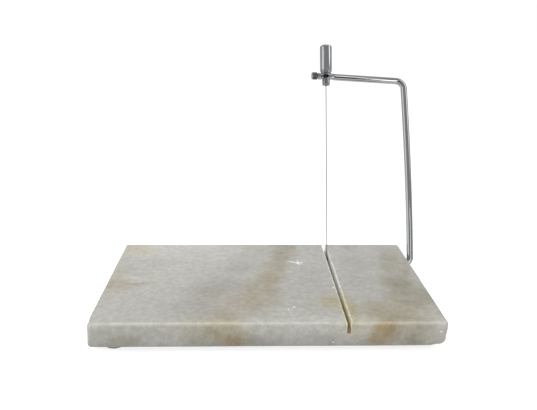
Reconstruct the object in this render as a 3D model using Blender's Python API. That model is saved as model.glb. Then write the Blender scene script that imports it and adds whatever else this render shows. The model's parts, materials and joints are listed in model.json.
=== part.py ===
"""Foie gras slicer: a marble board, and a steel arm that swings a taut wire down into a groove in it.

Metres, +Z up. The user stands on the -Y side. The origin is on the table, under the middle of the
whole slicer's box, with the arm leaning back as it is left between cuts. The arm's own pieces are
modelled in the arm's frame: its X runs along the pivot, its Z runs up the wire, and its origin is
where the wire's line crosses the pivot axis.
"""

import math

import bmesh
import bpy
from mathutils import Matrix, Vector

# Marble board
BOARD_WIDTH = 0.2032
BOARD_DEPTH = 0.127
BOARD_THICKNESS = 0.0159
BOARD_EDGE_RADIUS = 0.0022
BOARD_EDGE_STEPS = 3
LOWER_RIGHT_RADIUS = 0.005
LOWER_RIGHT_STEPS = 5
GROOVE_WIDTH = 0.0022
GROOVE_EASE = 0.0006
BORE_PAST_TIP = 0.0006
GROOVE_FROM_RIGHT = 0.0561
PIVOT_FROM_BACK = 0.0213
PIVOT_BELOW_TOP = 0.007

# Rubber feet, each placed by how far its centre lies in from the board's two nearest sides
FOOT_DIAMETER = 0.0127
FOOT_REST_DIAMETER = 0.0085
FOOT_HEIGHT = 0.003
FOOT_INSETS = {
    "foot_front_left": (0.0133, 0.0113),
    "foot_front_right": (0.015, 0.015),
    "foot_back_left": (0.0145, 0.014),
    "foot_back_right": (0.015, 0.0145),
}

# Arm, bent from one round bar
BAR_DIAMETER = 0.00476
BAR_TIP_LENGTH = 0.0125
LOWER_BEND_RADIUS = 0.004
UPPER_BEND_RADIUS = 0.0063
UPRIGHT_STANDOFF = 0.0044
UPRIGHT_BOW = math.radians(2.85)
TOP_ARM_RISE = math.radians(3.1)
LEAN_BACK = math.radians(20)

# Eye pressed near the bar's free end, and the round tip past it
EYE_HEIGHT = 0.1364
EYE_DIAMETER = 0.0074
EYE_THICKNESS = 0.004
EYE_EDGE_RADIUS = 0.0012
NECK_LENGTH = 0.0045
NOTCH_WIDTH = 0.0061
NOTCH_ROOF_BELOW_AXIS = 0.00065
TIP_BLEND = 0.0004
TIP_END_FROM_WIRE = 0.0061
TIP_EDGE = 0.0003

# Bushes that line the bore
BUSH_WALL = 0.0005
FLANGE_WIDTH = 0.0012
FLANGE_THICKNESS = 0.0005

# Wire and the crimps at its two ends
WIRE_DIAMETER = 0.0005
CRIMP_DIAMETER = 0.002
CRIMP_LENGTH = 0.002
CRIMP_EDGE = 0.0003
CRIMP_SEAT_ABOVE_AXIS = 0.0

# Tensioner: a stud that the knob draws up through the eye
STUD_BARREL_DIAMETER = 0.0055
STUD_BARREL_LENGTH = 0.0054
STUD_ROUNDING = 0.0009
STUD_SHANK_DIAMETER = 0.0032
STUD_SHANK_LENGTH = 0.017
STUD_TRAVEL_UP = 0.0003
STUD_TRAVEL_DOWN = 0.0027
KEYWAY_DEPTH = 0.0005
WASHER_DIAMETER = 0.0076
WASHER_THICKNESS = 0.0008
KNOB_DIAMETER = 0.0088
KNOB_LENGTH = 0.0196
KNOB_COLLAR_DIAMETER = 0.0085
KNOB_COLLAR_LENGTH = 0.0008
KNOB_COLLAR_CHAMFER = 0.0003
KNOB_LINE_DEPTH = 0.0005
KNOB_LINE_WIDTH = 0.0003
KNOB_CROWN_RADIUS = 0.0012
KNOB_BORE_DEPTH = 0.0166

# Lock screw, in the round tip of the bar: its dog runs in the shank's keyway
SCREW_DIAMETER = 0.0024
SCREW_DOG_DIAMETER = 0.0008
SCREW_DOG_START = 0.0034
SCREW_HEAD_DIAMETER = 0.0053
SCREW_HEAD_LENGTH = 0.0043
SCREW_HEAD_CHAMFER = 0.0007
KNURL_COUNT = 24
KNURL_DEPTH = 0.00015

# Clearances
SEAT_GAP = 0.0003
RUNNING_GAP = 0.0003
WIRE_OVER_GROOVE_FLOOR = 0.0002

# Facets
BAR_SIDES_PER_QUARTER = 5
TURNED_STEPS = 32
SMALL_STEPS = 16
BEND_STEPS = 9
UPRIGHT_STEPS = 8
ROUNDING_STEPS = 4
CUT_PAST = 0.002
MERGE = 1e-6
SMOOTH_ANGLE = math.radians(35)

# Sizes that follow from the ones above
BAR_RADIUS = BAR_DIAMETER / 2
BUSH_INNER_RADIUS = BAR_RADIUS + RUNNING_GAP
BUSH_OUTER_RADIUS = BUSH_INNER_RADIUS + BUSH_WALL
BORE_RADIUS = BUSH_OUTER_RADIUS + SEAT_GAP
TIP_REACH = GROOVE_WIDTH / 2 + BAR_TIP_LENGTH
GROOVE_DEPTH = PIVOT_BELOW_TOP + WIRE_DIAMETER / 2 + WIRE_OVER_GROOVE_FLOOR
WIRE_HOLE_RADIUS = WIRE_DIAMETER / 2 + RUNNING_GAP
CRIMP_SEAT_RADIUS = CRIMP_DIAMETER / 2 + SEAT_GAP
LOWER_CRIMP_TOP = CRIMP_SEAT_ABOVE_AXIS - SEAT_GAP
WIRE_BOTTOM = LOWER_CRIMP_TOP - CRIMP_LENGTH

UPRIGHT_FROM_WIRE = GROOVE_FROM_RIGHT + UPRIGHT_STANDOFF
EYE_RADIUS = EYE_DIAMETER / 2
EYE_TOP = EYE_HEIGHT + EYE_THICKNESS / 2
NOTCH_ROOF = EYE_HEIGHT - NOTCH_ROOF_BELOW_AXIS
WASHER_BOTTOM = EYE_TOP + SEAT_GAP
KNOB_BOTTOM = WASHER_BOTTOM + WASHER_THICKNESS + SEAT_GAP
SHANK_RADIUS = STUD_SHANK_DIAMETER / 2
SHANK_HOLE_RADIUS = SHANK_RADIUS + SEAT_GAP
STUD_SHOULDER = NOTCH_ROOF - SEAT_GAP - STUD_TRAVEL_UP
STUD_BOTTOM = STUD_SHOULDER - STUD_BARREL_LENGTH
STUD_TOP = STUD_SHOULDER + STUD_SHANK_LENGTH
UPPER_CRIMP_BOTTOM = STUD_TOP + SEAT_GAP
WIRE_TOP = UPPER_CRIMP_BOTTOM + CRIMP_LENGTH + SEAT_GAP
KEYWAY_FLOOR = SHANK_RADIUS - KEYWAY_DEPTH
DOG_HOLE_RADIUS = SCREW_DOG_DIAMETER / 2 + SEAT_GAP
SCREW_HOLE_RADIUS = SCREW_DIAMETER / 2 + SEAT_GAP

BOARD_BOTTOM = FOOT_HEIGHT + SEAT_GAP
BOARD_TOP = BOARD_BOTTOM + BOARD_THICKNESS
PIVOT_Z = BOARD_TOP - PIVOT_BELOW_TOP


def quarter_round(centre_radius, centre_height, rounding, start, end):
    """Outline points of a rounded edge, from angle start to angle end about its centre."""
    angles = [start + (end - start) * i / ROUNDING_STEPS for i in range(ROUNDING_STEPS + 1)]
    return [
        (centre_radius + rounding * math.cos(a), centre_height + rounding * math.sin(a))
        for a in angles
    ]


def knob_outline():
    """(radius, height over its seat) of the knob, from its bore's floor out and up to its crown."""
    collar = KNOB_COLLAR_DIAMETER / 2
    body = KNOB_DIAMETER / 2
    line = collar - KNOB_LINE_DEPTH
    crown_centre = body - KNOB_CROWN_RADIUS, KNOB_LENGTH - KNOB_CROWN_RADIUS
    return [
        (0, KNOB_BORE_DEPTH),
        (SHANK_HOLE_RADIUS, KNOB_BORE_DEPTH),
        (SHANK_HOLE_RADIUS, 0),
        (collar - KNOB_COLLAR_CHAMFER, 0),
        (collar, KNOB_COLLAR_CHAMFER),
        (collar, KNOB_COLLAR_LENGTH),
        (line, KNOB_COLLAR_LENGTH),
        (line, KNOB_COLLAR_LENGTH + KNOB_LINE_WIDTH),
        (body, KNOB_COLLAR_LENGTH + KNOB_LINE_WIDTH),
        *quarter_round(*crown_centre, KNOB_CROWN_RADIUS, 0, math.pi / 2),
        (0, KNOB_LENGTH),
    ]


# Where the board stands, so that the whole box is centred on the origin
REACH_BACK = max(
    radius * math.cos(LEAN_BACK) + (KNOB_BOTTOM + height) * math.sin(LEAN_BACK)
    for radius, height in knob_outline()
)
PIVOT_FROM_FRONT = BOARD_DEPTH - PIVOT_FROM_BACK
BOARD_FRONT = -(PIVOT_FROM_FRONT + max(REACH_BACK, PIVOT_FROM_BACK)) / 2
BOARD_LEFT = -(BOARD_WIDTH + UPRIGHT_STANDOFF + BAR_RADIUS) / 2
BOARD_RIGHT = BOARD_LEFT + BOARD_WIDTH
BOARD_BACK = BOARD_FRONT + BOARD_DEPTH
WIRE_X = BOARD_RIGHT - GROOVE_FROM_RIGHT
PIVOT = Vector((WIRE_X, BOARD_FRONT + PIVOT_FROM_FRONT, PIVOT_Z))

ALONG_X = Matrix.Rotation(math.pi / 2, 4, "Y")


def material(name, colour, roughness, metallic):
    """A Principled material, made once and shared by the pieces of that stuff."""
    made = bpy.data.materials.get(name)
    if made is None:
        made = bpy.data.materials.new(name)
        made.use_nodes = True
        shader = made.node_tree.nodes["Principled BSDF"]
        shader.inputs["Base Color"].default_value = (*colour, 1)
        shader.inputs["Roughness"].default_value = roughness
        shader.inputs["Metallic"].default_value = metallic
        made.diffuse_color = (*colour, 1)
    return made


def marble():
    return material("marble", (0.60, 0.59, 0.55), 0.35, 0.0)


def chrome():
    return material("chrome", (0.78, 0.79, 0.80), 0.08, 1.0)


def steel():
    return material("steel", (0.52, 0.51, 0.48), 0.28, 1.0)


def nylon():
    return material("nylon", (0.82, 0.80, 0.74), 0.5, 0.0)


def rubber():
    return material("rubber", (0.56, 0.57, 0.55), 0.6, 0.0)


def add_object(name, bm, stuff=None, parent=None, matrix=Matrix()):
    """Turns a bmesh into an object: smooth on round faces, sharp on real edges."""
    bmesh.ops.recalc_face_normals(bm, faces=bm.faces)
    mesh = bpy.data.meshes.new(name)
    bm.to_mesh(mesh)
    bm.free()
    mesh.shade_smooth()
    mesh.set_sharp_from_angle(angle=SMOOTH_ANGLE)
    made = bpy.data.objects.new(name, mesh)
    bpy.context.scene.collection.objects.link(made)
    made.parent = parent
    made.matrix_basis = matrix
    if stuff:
        made.data.materials.append(stuff)
    return made


def as_helper(made):
    """Marks an object that only shapes another one."""
    made.hide_render = True
    made.display_type = "WIRE"
    return made


def boolean(made, helper, operation="DIFFERENCE"):
    """Cuts a helper out of an object, or joins it on."""
    modifier = made.modifiers.new(f"{operation.lower()} {helper.name}", "BOOLEAN")
    modifier.operation = operation
    modifier.solver = "EXACT"
    modifier.object = as_helper(helper)


def box(low, high):
    """A rectangular block between two corners."""
    bm = bmesh.new()
    bmesh.ops.create_cube(bm, size=1)
    low, high = Vector(low), Vector(high)
    bmesh.ops.scale(bm, vec=high - low, verts=bm.verts)
    bmesh.ops.translate(bm, vec=(low + high) / 2, verts=bm.verts)
    return bm


def turned(outline, steps=TURNED_STEPS):
    """Turns (radius, height) points about Z. An outline that ends on the axis at both ends is solid."""
    bm = bmesh.new()
    verts = [bm.verts.new((radius, 0, height)) for radius, height in outline]
    edges = [bm.edges.new(pair) for pair in zip(verts, verts[1:])]
    if outline[0][0] > 0:
        edges.append(bm.edges.new((verts[-1], verts[0])))
    bmesh.ops.spin(bm, geom=verts + edges, axis=(0, 0, 1), angle=2 * math.pi, steps=steps)
    bmesh.ops.remove_doubles(bm, verts=bm.verts, dist=MERGE)
    return bm


def cylinder(radius, low, high, steps=TURNED_STEPS):
    """A plain round bar along Z."""
    return turned([(0, low), (radius, low), (radius, high), (0, high)], steps)


def tube(inner, outer, low, high, steps=TURNED_STEPS):
    """A plain round tube along Z."""
    return turned([(inner, low), (outer, low), (outer, high), (inner, high)], steps)


def extruded(outline, start, end):
    """Runs a closed outline of (x, z) points along Y."""
    bm = bmesh.new()
    face = bm.faces.new([bm.verts.new((x, start, z)) for x, z in outline])
    pushed = bmesh.ops.extrude_face_region(bm, geom=[face])
    moved = [v for v in pushed["geom"] if isinstance(v, bmesh.types.BMVert)]
    bmesh.ops.translate(bm, vec=(0, end - start, 0), verts=moved)
    return bm


def groove_outline():
    """Section of the saw cut in (x, z): eased lips, straight walls and a round floor."""
    half = GROOVE_WIDTH / 2
    floor_centre = BOARD_TOP - GROOVE_DEPTH + half
    lip = half + GROOVE_EASE + CUT_PAST
    floor = quarter_round(WIRE_X, floor_centre, half, 0, -math.pi)
    return [
        (WIRE_X + lip, BOARD_TOP + CUT_PAST),
        (WIRE_X + half, BOARD_TOP - GROOVE_EASE),
        *floor,
        (WIRE_X - half, BOARD_TOP - GROOVE_EASE),
        (WIRE_X - lip, BOARD_TOP + CUT_PAST),
    ]


def build_board():
    """The slab, with its eased edges, a fuller one at the lower right, the groove and the bore."""
    slab = box((BOARD_LEFT, BOARD_FRONT, BOARD_BOTTOM), (BOARD_RIGHT, BOARD_BACK, BOARD_TOP))
    low_right = [v for v in slab.verts if v.co.x > 0 and v.co.z < (BOARD_BOTTOM + BOARD_TOP) / 2]
    edge = slab.edges.get(low_right)
    bmesh.ops.bevel(
        slab, geom=[edge], offset=LOWER_RIGHT_RADIUS, segments=LOWER_RIGHT_STEPS, profile=0.5, affect="EDGES"
    )
    board = add_object("marble_board", slab, marble())
    eased = board.modifiers.new("eased edges", "BEVEL")
    eased.width = BOARD_EDGE_RADIUS
    eased.segments = BOARD_EDGE_STEPS
    eased.use_clamp_overlap = False

    groove = extruded(groove_outline(), BOARD_FRONT - CUT_PAST, BOARD_BACK + CUT_PAST)
    boolean(board, add_object("groove_cut", groove))

    bore = cylinder(BORE_RADIUS, -TIP_REACH - BORE_PAST_TIP, GROOVE_FROM_RIGHT + CUT_PAST)
    boolean(board, add_object("bore_cut", bore, None, None, Matrix.Translation(PIVOT) @ ALONG_X))
    return board


def build_feet():
    """Four stuck-on rubber feet: shallow domes with a flat to stand on."""
    radius = FOOT_DIAMETER / 2
    rest = FOOT_REST_DIAMETER / 2
    shoulder = FOOT_HEIGHT / 2
    outline = [(0, 0), (rest, 0)]
    for i in range(1, ROUNDING_STEPS + 1):
        angle = math.pi / 2 * i / ROUNDING_STEPS
        outline.append((rest + (radius - rest) * math.sin(angle), shoulder * (1 - math.cos(angle))))
    outline += [(radius, FOOT_HEIGHT), (0, FOOT_HEIGHT)]
    for name, (inset_x, inset_y) in FOOT_INSETS.items():
        x = BOARD_LEFT + inset_x if name.endswith("left") else BOARD_RIGHT - inset_x
        y = BOARD_FRONT + inset_y if "front" in name else BOARD_BACK - inset_y
        add_object(name, turned(outline), rubber(), None, Matrix.Translation((x, y, 0)))


def build_bushes():
    """The flanged bush from the board's side to the groove, and the short one past the groove."""
    half = GROOVE_WIDTH / 2
    flange = BUSH_OUTER_RADIUS + FLANGE_WIDTH
    flange_start = GROOVE_FROM_RIGHT + SEAT_GAP
    flanged = turned([
        (BUSH_INNER_RADIUS, half),
        (BUSH_OUTER_RADIUS, half),
        (BUSH_OUTER_RADIUS, flange_start),
        (flange, flange_start),
        (flange, flange_start + FLANGE_THICKNESS),
        (BUSH_INNER_RADIUS, flange_start + FLANGE_THICKNESS),
    ])
    place = Matrix.Translation(PIVOT) @ ALONG_X
    add_object("pivot_bush", flanged, nylon(), None, place)
    short = tube(BUSH_INNER_RADIUS, BUSH_OUTER_RADIUS, -TIP_REACH, -half)
    add_object("tip_bush", short, nylon(), None, place)


def bar_round(x, z, heading):
    """A station of the bar where it is round."""
    return x, z, heading, BAR_RADIUS, BAR_RADIUS, BAR_RADIUS


def bar_bends():
    """Stations of the round bar from its buried tip to the end of its upper bend, in the arm's frame."""
    stations = []
    x, z, heading = SEAT_GAP - TIP_REACH, 0.0, 0.0

    def arc(radius, turn, steps):
        nonlocal x, z, heading
        centre_x = x - radius * math.sin(heading)
        centre_z = z + radius * math.cos(heading)
        first = heading
        for i in range(1, steps + 1):
            heading = first + turn * i / steps
            x = centre_x + radius * math.sin(heading)
            z = centre_z - radius * math.cos(heading)
            stations.append(bar_round(x, z, heading))

    leaning = math.pi / 2 + UPRIGHT_BOW
    last = math.pi - TOP_ARM_RISE
    bend_x = UPPER_BEND_RADIUS * (math.sin(last) - math.sin(leaning))
    bend_z = UPPER_BEND_RADIUS * (math.cos(leaning) - math.cos(last))
    slope = math.tan(TOP_ARM_RISE)
    rise_rate = math.sin(UPRIGHT_BOW) / UPRIGHT_BOW
    drift_rate = (1 - math.cos(UPRIGHT_BOW)) / UPRIGHT_BOW
    other_rises = LOWER_BEND_RADIUS + bend_z + slope * (UPRIGHT_FROM_WIRE + bend_x)
    upright = (EYE_HEIGHT - other_rises) / (rise_rate - slope * drift_rate)

    stations.append(bar_round(x, z, heading))
    x = UPRIGHT_FROM_WIRE - LOWER_BEND_RADIUS
    stations.append(bar_round(x, z, heading))
    arc(LOWER_BEND_RADIUS, math.pi / 2, BEND_STEPS)
    arc(upright / UPRIGHT_BOW, UPRIGHT_BOW, UPRIGHT_STEPS)
    arc(UPPER_BEND_RADIUS, last - leaning, BEND_STEPS)
    return stations


def bar_head():
    """Stations through the flattened neck and eye and out along the round tip."""
    heading = math.pi - TOP_ARM_RISE

    def station(along, width, flat):
        height = BAR_RADIUS + flat * (EYE_THICKNESS / 2 - BAR_RADIUS)
        corner = BAR_RADIUS + flat * (EYE_EDGE_RADIUS - BAR_RADIUS)
        x = along * math.cos(heading)
        z = EYE_HEIGHT + along * math.sin(heading) * (1 - flat)
        return x, z, math.pi - TOP_ARM_RISE * (1 - flat), max(width, BAR_RADIUS), height, corner

    waist = math.asin(BAR_RADIUS / EYE_RADIUS)
    waist_along = EYE_RADIUS * math.cos(waist)
    stations = []
    for i in range(ROUNDING_STEPS + 1):
        share = i / ROUNDING_STEPS
        stations.append(station(-waist_along - NECK_LENGTH * (1 - share), BAR_RADIUS, share))
    steps = 3 * ROUNDING_STEPS
    for i in range(1, steps + 1):
        angle = waist + (math.pi - 2 * waist) * i / steps
        stations.append(station(-EYE_RADIUS * math.cos(angle), EYE_RADIUS * math.sin(angle), 1))
    flat_end = max(EYE_RADIUS, WASHER_DIAMETER / 2 + SEAT_GAP)
    stations.append(station(flat_end, BAR_RADIUS, 1))
    stations.append(station(flat_end + TIP_BLEND, BAR_RADIUS, 0))
    stations.append(station(TIP_END_FROM_WIRE - TIP_EDGE, BAR_RADIUS, 0))
    x, z, heading, width, height, corner = station(TIP_END_FROM_WIRE, BAR_RADIUS, 0)
    stations.append((x, z, heading, width - TIP_EDGE, height - TIP_EDGE, corner - TIP_EDGE))
    return stations


def swept(stations):
    """A closed body through sections that are round, or rounded rectangles where the bar is pressed."""
    bm = bmesh.new()
    rings = []
    for x, z, heading, width, height, corner in stations:
        across = Vector((0, 1, 0))
        upward = Vector((-math.sin(heading), 0, math.cos(heading)))
        ring = []
        for i in range(4 * BAR_SIDES_PER_QUARTER):
            angle = math.pi / 2 * (i + 0.5) / BAR_SIDES_PER_QUARTER
            side = math.copysign(width - corner, math.cos(angle)) + corner * math.cos(angle)
            top = math.copysign(height - corner, math.sin(angle)) + corner * math.sin(angle)
            ring.append(bm.verts.new(Vector((x, 0, z)) + across * side + upward * top))
        rings.append(ring)
    for ring, following in zip(rings, rings[1:]):
        for i in range(len(ring)):
            bm.faces.new((ring[i - 1], ring[i], following[i], following[i - 1]))
    bm.faces.new(rings[0])
    bm.faces.new(rings[-1])
    return bm


def build_arm_bar():
    """The bent bar: a cross hole for the wire in its pivot leg, a notched eye, and a threaded tip."""
    lean = Matrix.Translation(PIVOT) @ Matrix.Rotation(-LEAN_BACK, 4, "X")
    bar = add_object("arm_bar", swept(bar_bends() + bar_head()), chrome(), None, lean)

    crimp_seat = turned([
        (0, -BAR_DIAMETER),
        (CRIMP_SEAT_RADIUS, -BAR_DIAMETER),
        (CRIMP_SEAT_RADIUS, CRIMP_SEAT_ABOVE_AXIS),
        (WIRE_HOLE_RADIUS, CRIMP_SEAT_ABOVE_AXIS),
        (WIRE_HOLE_RADIUS, BAR_DIAMETER),
        (0, BAR_DIAMETER),
    ], SMALL_STEPS)
    boolean(bar, add_object("wire_hole_cut", crimp_seat, None, bar))

    half = NOTCH_WIDTH / 2
    notch = box((-half, -EYE_DIAMETER, EYE_HEIGHT - BAR_DIAMETER), (half, EYE_DIAMETER, NOTCH_ROOF))
    boolean(bar, add_object("notch_cut", notch, None, bar))

    eye_hole = cylinder(SHANK_HOLE_RADIUS, NOTCH_ROOF - CUT_PAST, EYE_TOP + CUT_PAST)
    boolean(bar, add_object("eye_hole_cut", eye_hole, None, bar))

    screw_hole = turned([
        (0, 0),
        (DOG_HOLE_RADIUS, 0),
        (DOG_HOLE_RADIUS, SCREW_DOG_START),
        (SCREW_HOLE_RADIUS, SCREW_DOG_START),
        (SCREW_HOLE_RADIUS, TIP_END_FROM_WIRE + CUT_PAST),
        (0, TIP_END_FROM_WIRE + CUT_PAST),
    ], SMALL_STEPS)
    boolean(bar, add_object("screw_hole_cut", screw_hole, None, bar, along_tip()))
    return bar


def along_tip():
    """Where a piece on the bar's tip stands: on the wire's line, with its Z running out of the tip."""
    return Matrix.Translation((0, 0, EYE_HEIGHT)) @ Matrix.Rotation(TOP_ARM_RISE - math.pi / 2, 4, "Y")


def crimp(name, bottom, parent, matrix=Matrix()):
    """A short ferrule pressed on an end of the wire."""
    outer = CRIMP_DIAMETER / 2
    outline = [
        (WIRE_HOLE_RADIUS, bottom),
        (outer - CRIMP_EDGE, bottom),
        (outer, bottom + CRIMP_EDGE),
        (outer, bottom + CRIMP_LENGTH - CRIMP_EDGE),
        (outer - CRIMP_EDGE, bottom + CRIMP_LENGTH),
        (WIRE_HOLE_RADIUS, bottom + CRIMP_LENGTH),
    ]
    return add_object(name, turned(outline, SMALL_STEPS), steel(), parent, matrix)


def build_wire(bar):
    """The cutting wire, from its crimp in the pivot leg up through the stud."""
    wire = cylinder(WIRE_DIAMETER / 2, WIRE_BOTTOM, WIRE_TOP, SMALL_STEPS)
    add_object("cutting_wire", wire, steel(), bar)
    crimp("lower_crimp", WIRE_BOTTOM, bar)


def build_stud(bar):
    """The stud: a barrel with a rounded end, a keyed shank up into the knob, and the upper crimp."""
    barrel = STUD_BARREL_DIAMETER / 2
    bottom = STUD_BOTTOM - EYE_HEIGHT
    shoulder = STUD_SHOULDER - EYE_HEIGHT
    top = STUD_TOP - EYE_HEIGHT
    rounded = quarter_round(barrel - STUD_ROUNDING, bottom + STUD_ROUNDING, STUD_ROUNDING, -math.pi / 2, 0)
    outline = [
        (WIRE_HOLE_RADIUS, bottom),
        *rounded,
        (barrel, shoulder),
        (SHANK_RADIUS, shoulder),
        (SHANK_RADIUS, top),
        (WIRE_HOLE_RADIUS, top),
    ]
    stud = add_object("tension_stud", turned(outline), steel(), bar, Matrix.Translation((0, 0, EYE_HEIGHT)))
    half_width = SCREW_DOG_DIAMETER / 2 + SEAT_GAP
    low = (-STUD_SHANK_DIAMETER, -half_width, -STUD_TRAVEL_UP - half_width)
    high = (-KEYWAY_FLOOR, half_width, STUD_TRAVEL_DOWN + half_width)
    boolean(stud, add_object("keyway_cut", box(low, high), None, stud))
    crimp("upper_crimp", UPPER_CRIMP_BOTTOM - EYE_HEIGHT, stud)
    return stud


def build_knob(bar):
    """The washer on the eye and the tall knob that turns on it."""
    washer = tube(SHANK_HOLE_RADIUS, WASHER_DIAMETER / 2, 0, WASHER_THICKNESS)
    add_object("knob_washer", washer, steel(), bar, Matrix.Translation((0, 0, WASHER_BOTTOM)))
    knob = turned(knob_outline())
    add_object("tension_knob", knob, chrome(), bar, Matrix.Translation((0, 0, KNOB_BOTTOM)))


def knurled(radius, start, end):
    """A ribbed round head along Z with a chamfered outer end."""
    bm = bmesh.new()
    rings = []
    for height, shrink, depth in (
        (start, SCREW_HEAD_CHAMFER / 2, 0),
        (start + SCREW_HEAD_CHAMFER / 2, 0, KNURL_DEPTH),
        (end - SCREW_HEAD_CHAMFER, 0, KNURL_DEPTH),
        (end, SCREW_HEAD_CHAMFER, 0),
    ):
        ring = []
        for i in range(2 * KNURL_COUNT):
            angle = math.pi * i / KNURL_COUNT
            reach = radius - shrink - depth * (i % 2)
            ring.append(bm.verts.new((reach * math.cos(angle), reach * math.sin(angle), height)))
        rings.append(ring)
    for ring, following in zip(rings, rings[1:]):
        for i in range(len(ring)):
            bm.faces.new((ring[i - 1], ring[i], following[i], following[i - 1]))
    bm.faces.new(rings[0])
    bm.faces.new(rings[-1])
    return bm


def build_lock_screw(bar):
    """The lock screw: a ribbed head, a threaded shank and the dog that keys the stud."""
    head_start = TIP_END_FROM_WIRE + SEAT_GAP
    head = knurled(SCREW_HEAD_DIAMETER / 2, head_start, head_start + SCREW_HEAD_LENGTH)
    screw = add_object("lock_screw", head, steel(), bar, along_tip())
    dog_end = SCREW_DOG_START + SEAT_GAP
    shank = turned([
        (0, KEYWAY_FLOOR + SEAT_GAP),
        (SCREW_DOG_DIAMETER / 2, KEYWAY_FLOOR + SEAT_GAP),
        (SCREW_DOG_DIAMETER / 2, dog_end),
        (SCREW_DIAMETER / 2, dog_end),
        (SCREW_DIAMETER / 2, head_start + SCREW_HEAD_LENGTH / 2),
        (0, head_start + SCREW_HEAD_LENGTH / 2),
    ], SMALL_STEPS)
    boolean(screw, add_object("screw_shank", shank, None, screw), "UNION")


def main():
    for found in list(bpy.data.objects):
        bpy.data.objects.remove(found)
    build_board()
    build_feet()
    build_bushes()
    bar = build_arm_bar()
    build_wire(bar)
    build_stud(bar)
    build_knob(bar)
    build_lock_screw(bar)


main()
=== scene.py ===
"""The slicer as it looks: veined marble, chromed bar and knob, steel fittings, on a pale floor.

Metres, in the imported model's frame. The arm's own pieces are shaped in the arm's frame, whose X
runs along the pivot and whose Z runs up the wire, and are then leaned back into place.
"""
import functools
import json
import math

import bmesh
import bpy
from mathutils import Matrix, Vector, noise


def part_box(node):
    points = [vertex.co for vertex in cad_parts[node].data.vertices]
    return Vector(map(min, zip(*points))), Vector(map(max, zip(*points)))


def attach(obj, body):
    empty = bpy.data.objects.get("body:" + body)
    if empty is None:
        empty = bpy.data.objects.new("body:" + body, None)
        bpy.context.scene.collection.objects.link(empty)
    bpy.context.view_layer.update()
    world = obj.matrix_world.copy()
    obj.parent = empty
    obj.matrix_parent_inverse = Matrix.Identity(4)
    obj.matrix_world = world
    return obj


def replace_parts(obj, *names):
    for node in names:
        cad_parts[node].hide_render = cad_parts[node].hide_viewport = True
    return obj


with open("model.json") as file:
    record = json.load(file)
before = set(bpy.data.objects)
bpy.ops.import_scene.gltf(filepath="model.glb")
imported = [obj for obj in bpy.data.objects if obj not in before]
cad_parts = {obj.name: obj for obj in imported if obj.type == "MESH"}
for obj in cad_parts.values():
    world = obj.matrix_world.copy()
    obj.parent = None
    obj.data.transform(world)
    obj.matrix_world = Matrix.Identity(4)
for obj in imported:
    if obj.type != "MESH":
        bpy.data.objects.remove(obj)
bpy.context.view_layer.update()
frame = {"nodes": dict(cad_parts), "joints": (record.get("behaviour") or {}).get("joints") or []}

# The frame's own places
BOARD_LOW, BOARD_HIGH = (Vector(corner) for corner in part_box("marble_board"))
TOP_FRONT_LEFT = Vector((BOARD_LOW.x, BOARD_LOW.y, BOARD_HIGH.z))
JOINTS = {joint["name"]: joint for joint in frame["joints"]}
PIVOT = Vector(JOINTS["arm_swing"]["pos_m"])
WIRE_UP = Vector(JOINTS["stud_slide"]["axis"])
LEAN = Matrix.Translation(PIVOT) @ Matrix.Rotation(-math.atan2(WIRE_UP.y, WIRE_UP.z), 4, "X")

# Camera, placed from the board's top front left corner
CAMERA_FROM_CORNER = Vector((0.088111, -0.320198, 0.164495))
CAMERA_PITCH = math.radians(16.689)
CAMERA_YAW = math.radians(2.187)
CAMERA_ROLL = math.radians(0.761)
IMAGE_WIDTH = 537
FOCAL_PIXELS = 636.139
SENSOR_WIDTH = 36.0
CLIP_NEAR, CLIP_FAR = 0.01, 20

# Marble slab
UNDERSIDE_LIFT = 0.0004
SLAB_LOW = BOARD_LOW + Vector((0, 0, UNDERSIDE_LIFT))
EDGE_RADIUS = 0.0022
EDGE_UNEVENNESS = 0.0003
EDGE_WAVES_PER_METRE = 90
EDGE_ZONE = 0.0056
EDGE_STEP = 0.0004
FACE_STEP = 0.004
# How fast the rubbed pale and the painted edge highlight come on over the rounding
WEAR_AND_HIGHLIGHT_GAIN = 3.6

# Two places where the slab's edges are fuller, and how far from the corner each one's fade starts
LOWER_RIGHT_RADIUS = 0.0042
LOWER_RIGHT_REACH_X, LOWER_RIGHT_REACH_Z = 0.009, 0.010
FRONT_LEFT_RADIUS = 0.0036
FRONT_LEFT_REACH_X, FRONT_LEFT_REACH_Y = 0.009, 0.011
FRONT_LEFT_RISE_START, FRONT_LEFT_RISE_END = 0.002, 0.008

# Groove, and the bore for the pivot
GROOVE_WIDTH = 0.0022
GROOVE_DEPTH = 0.00745
GROOVE_EASE = 0.0005
GROOVE_SHIFT = -0.0005
GROOVE_X = PIVOT.x + GROOVE_SHIFT
GROOVE_STEP = 0.0007
GROOVE_LIP_SLOPE = 1.2
CUT_PAST = 0.002
BORE_RADIUS = 0.00348
BORE_REACH_LEFT = 0.0142

# The groove's broken lips, and where in the noise their wander and their chips are read: X times
# the lip's side, and Z
LIP_WAVES_PER_METRE = 260
LIP_EVEN_SHARE, LIP_WANDER_SHARE = 0.8, 0.6
LIP_NOISE_X, LIP_NOISE_Z = 7.3, 1.7
CHIP_SIZE = 0.0016
CHIPS_PER_METRE = 620
CHIP_THRESHOLD = 0.18
CHIP_NOISE_X, CHIP_NOISE_Z = 3.1, 9.2

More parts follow.
